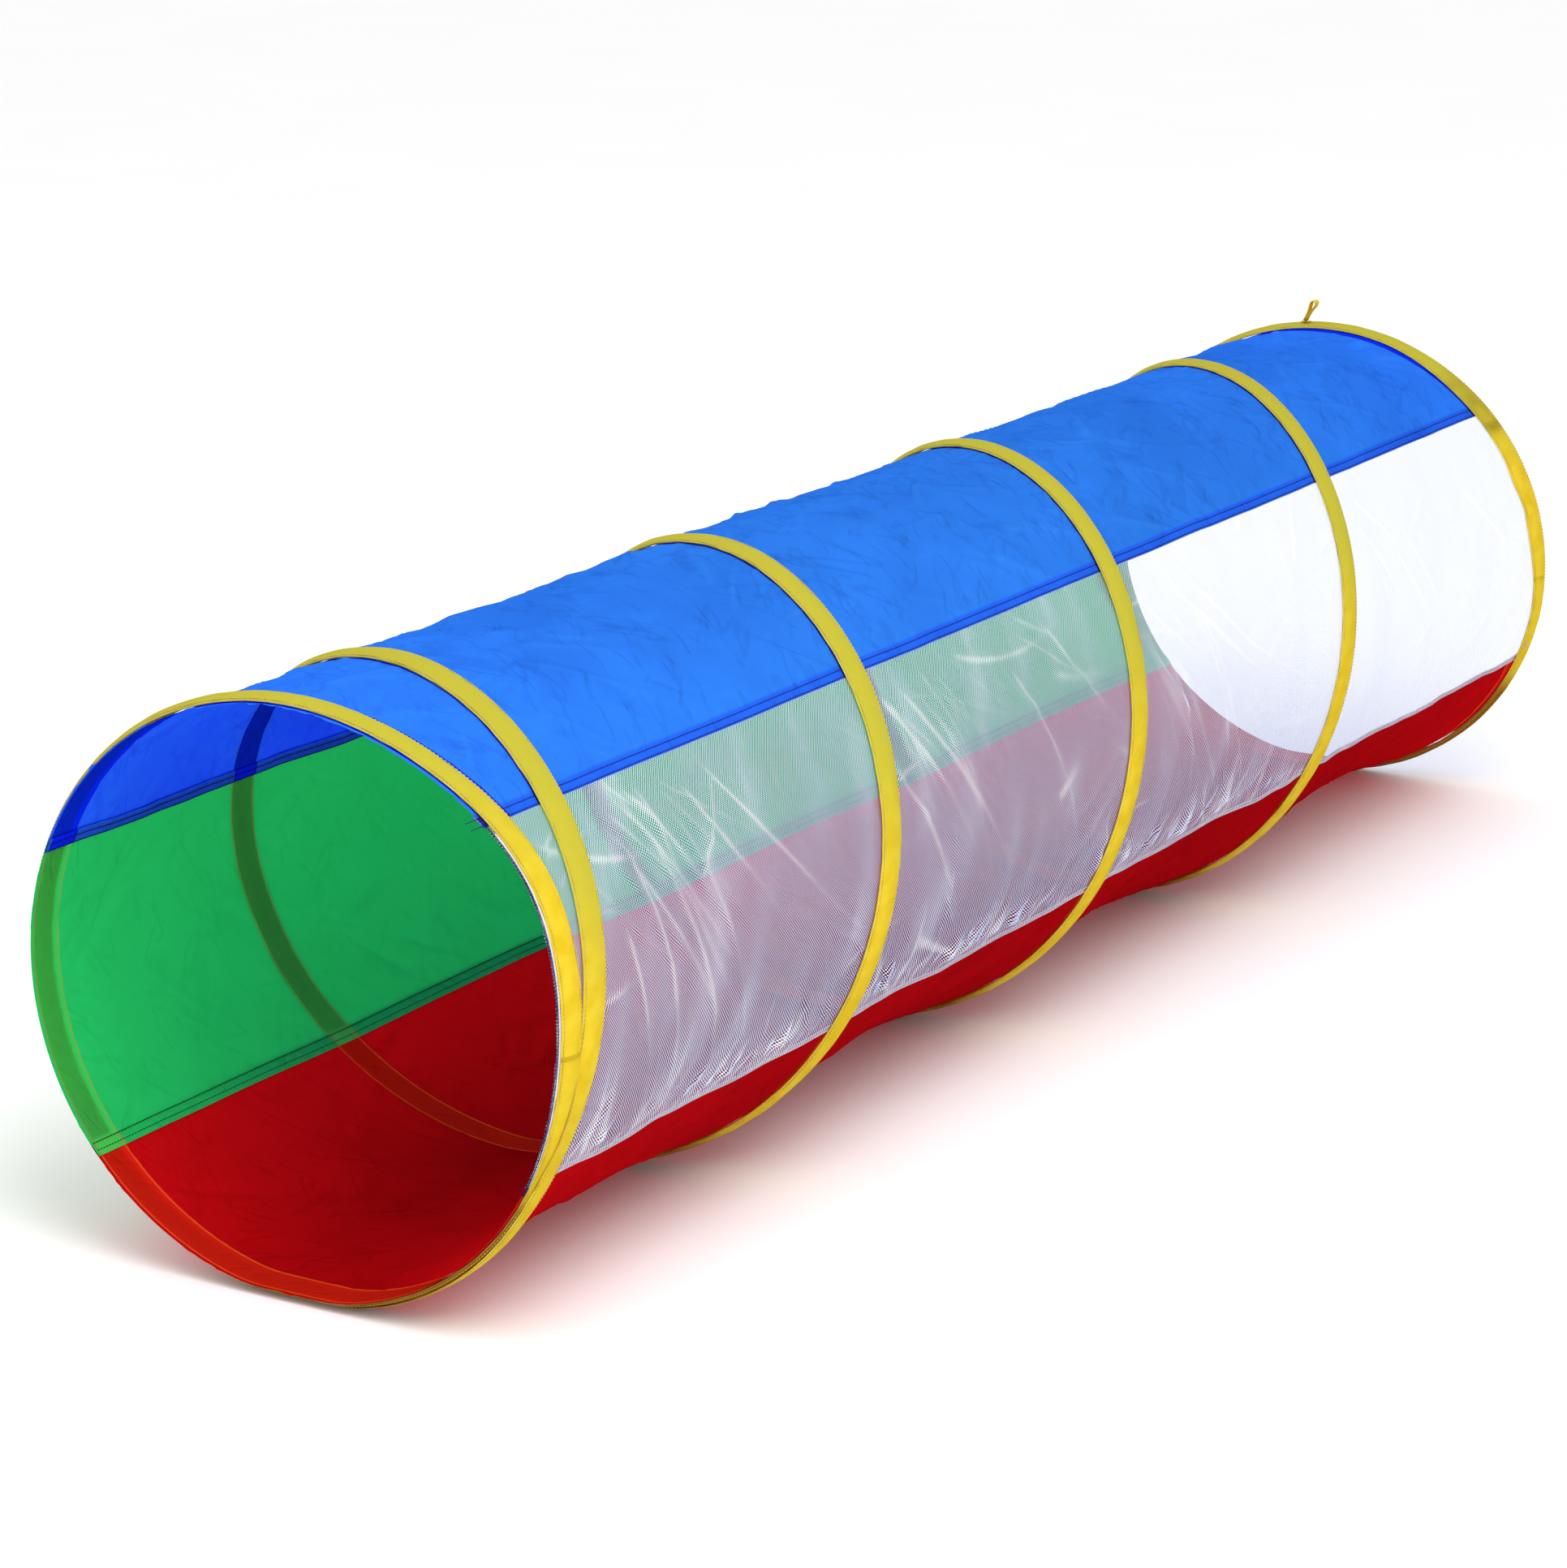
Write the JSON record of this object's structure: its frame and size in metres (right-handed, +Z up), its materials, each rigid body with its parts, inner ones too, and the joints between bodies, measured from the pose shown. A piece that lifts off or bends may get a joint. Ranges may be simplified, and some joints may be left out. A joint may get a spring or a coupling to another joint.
{
  "type": "agility tunnel",
  "caption": "Pop-up pet agility tunnel lying on its side: cloth panels and a see-through side over a spring-wire coil, with an open hoop at each mouth.",
  "frame": {"origin": "centre of the bounding box's bottom face, on the floor under the middle of the tunnel", "axes": "+X along the tunnel from the near mouth to the far mouth, +Z up, so the see-through side faces -Y and the green side +Y"},
  "size_m": [1.8114, 0.4916, 0.4917],
  "materials": {
    "blue_cloth": "thin plain-woven coated polyester with a soft sheen, bright blue",
    "green_cloth": "thin plain-woven coated polyester, green",
    "red_cloth": "thin plain-woven coated polyester, red",
    "mesh_cloth": "fine white see-through mesh",
    "yellow_tape": "thin woven yellow tape, folded and sewn down along both edges",
    "yellow_thread": "dense zigzag stitching",
    "spring_steel": "bright drawn spring wire",
    "crimped_steel": "dull crimped steel tube"
  },
  "bodies": {
    "near_end": {"mouth_sleeve": "yellow_tape", "mouth_wire": "spring_steel", "mouth_ferrule": "crimped_steel", "mouth_tack": "yellow_thread", "coil_sleeve": "yellow_tape", "coil_wire": "spring_steel", "top_panel": "blue_cloth", "side_panel": "green_cloth", "bottom_panel": "red_cloth", "mesh_panel": "mesh_cloth"},
    "far_end": {"far_sleeve": "yellow_tape", "far_wire": "spring_steel", "far_ferrule": "crimped_steel", "far_tack": "yellow_thread"},
    "hang_loop": {"far_loop": "yellow_tape"}
  },
  "joints": [
    {"name": "collapse", "type": "slide", "parent": "near_end", "child": "far_end", "axis": [-1, 0, 0], "range_m": [0, 1.7], "stiffness_N_per_m": 12, "springref_m": -0.5, "deforming": ["coil_sleeve", "coil_wire", "top_panel", "side_panel", "bottom_panel", "mesh_panel"]},
    {"name": "loop_bend", "type": "hinge", "parent": "far_end", "child": "hang_loop", "pos_m": [0.88875, 0.0259, 0.47127], "axis": [1, 0, 0], "range_deg": [-95, 35], "stiffness_Nm_per_rad": 0.001}
  ]
}
